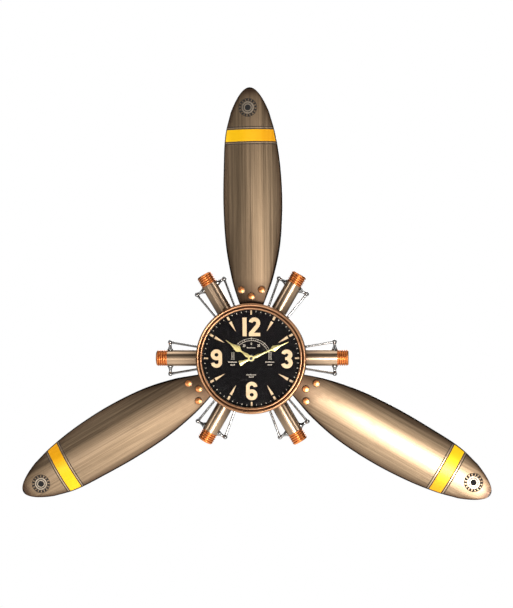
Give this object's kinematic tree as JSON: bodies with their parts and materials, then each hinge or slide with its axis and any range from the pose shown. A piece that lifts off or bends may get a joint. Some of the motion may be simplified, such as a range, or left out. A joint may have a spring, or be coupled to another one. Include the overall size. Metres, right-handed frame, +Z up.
{
  "type": "propeller wall clock",
  "caption": "Quartz wall clock styled as an aircraft nose: round dial in a drum, dummy radial engine cylinders with pushrods, and pressed metal propeller blades.",
  "frame": {"origin": "point on the wall plane behind the centre of the dial", "axes": "-Y out of the wall towards the reader, +Y into the wall, +Z up the dial towards twelve, +X towards three"},
  "size_m": [0.7366, 0.048, 0.6449],
  "materials": {
    "case_wall": "satin black paint on sheet steel",
    "zinc_fixing": "zinc plated",
    "foot_rubber": "matt rubber",
    "copper_plate": "antique copper plating",
    "lens_glass": "clear flat glass",
    "dial_black": "gloss black with printed cream markings",
    "spacer_black": "black paint",
    "blade_bronze": "lengthwise brushed, antique bronze lacquer",
    "bracket_steel": "plain steel",
    "cylinder_bronze": "brushed antique bronze",
    "cap_copper": "copper plated, satin",
    "bright_chrome": "bright chrome",
    "movement_plastic": "moulded black plastic",
    "battery_wrap": "plain wrapper",
    "contact_steel": "plain",
    "board_green": "solder mask",
    "coil_copper": "enamelled wire",
    "gear_plastic": "natural acetal",
    "knob_plastic": "moulded",
    "hand_gold": "pale gold lacquer"
  },
  "bodies": {
    "clock_case": {"case_wall": "case_wall", "case_back": "case_wall", "hanger_plate": "zinc_fixing", "hanger_rivets": "zinc_fixing", "bracket_rivets": "zinc_fixing", "bezel_screws": "zinc_fixing", "case_feet": "foot_rubber", "movement_washer": "foot_rubber", "lens_gasket": "foot_rubber", "bezel": "copper_plate", "blade_bolts": "copper_plate", "lens": "lens_glass", "dial": "dial_black", "dial_spacer": "spacer_black", "dial_seat": "spacer_black", "movement_nut": "spacer_black", "blade_top": "blade_bronze", "blade_right": "blade_bronze", "blade_left": "blade_bronze", "blade_brackets": "bracket_steel", "blade_spacers": "bracket_steel", "blade_washers": "bracket_steel", "blade_nuts": "bracket_steel", "cylinder_ties": "bracket_steel", "cylinder_tube_01": "cylinder_bronze", "cylinder_tube_03": "cylinder_bronze", "cylinder_tube_05": "cylinder_bronze", "cylinder_tube_07": "cylinder_bronze", "cylinder_tube_09": "cylinder_bronze", "cylinder_tube_11": "cylinder_bronze", "cylinder_cap_01": "cap_copper", "cylinder_cap_03": "cap_copper", "cylinder_cap_05": "cap_copper", "cylinder_cap_07": "cap_copper", "cylinder_cap_09": "cap_copper", "cylinder_cap_11": "cap_copper", "rocker_posts": "bright_chrome", "pushrods": "bright_chrome", "pushrod_nuts": "bright_chrome", "movement_housing": "movement_plastic", "movement_cover": "movement_plastic", "battery": "battery_wrap", "battery_contacts": "contact_steel", "stator": "contact_steel", "circuit_board": "board_green", "coil": "coil_copper"},
    "minute_train": {"minute_hand": "hand_gold", "minute_arbor": "gear_plastic", "hand_nut": "spacer_black"},
    "hour_train": {"hour_hand": "hand_gold", "hour_wheel": "gear_plastic"},
    "motion_train": {"motion_wheel": "gear_plastic", "setting_knob": "knob_plastic"},
    "third_train": {"third_wheel": "gear_plastic"},
    "seconds_train": {"seconds_wheel": "gear_plastic"}
  },
  "joints": [
    {"name": "minute_turn", "type": "hinge", "parent": "clock_case", "child": "minute_train", "pos_m": [0, -0.025, 0], "axis": [0, 1, 0], "continuous": true},
    {"name": "hour_turn", "type": "hinge", "parent": "clock_case", "child": "hour_train", "pos_m": [0, -0.025, 0], "axis": [0, 1, 0], "continuous": true},
    {"name": "motion_turn", "type": "hinge", "parent": "clock_case", "child": "motion_train", "pos_m": [0.01, -0.025, 0], "axis": [0, 1, 0], "continuous": true},
    {"name": "third_turn", "type": "hinge", "parent": "clock_case", "child": "third_train", "pos_m": [-0.00842, -0.025, 0.00486], "axis": [0, 1, 0], "continuous": true},
    {"name": "seconds_turn", "type": "hinge", "parent": "clock_case", "child": "seconds_train", "pos_m": [-0.00688, -0.025, 0.01357], "axis": [0, 1, 0], "continuous": true}
  ],
  "couplings": [
    {"joint": "hour_turn", "follows": "minute_turn", "ratio": 0.083333},
    {"joint": "motion_turn", "follows": "minute_turn", "ratio": -0.33333},
    {"joint": "third_turn", "follows": "minute_turn", "ratio": -8},
    {"joint": "seconds_turn", "follows": "minute_turn", "ratio": 60}
  ]
}
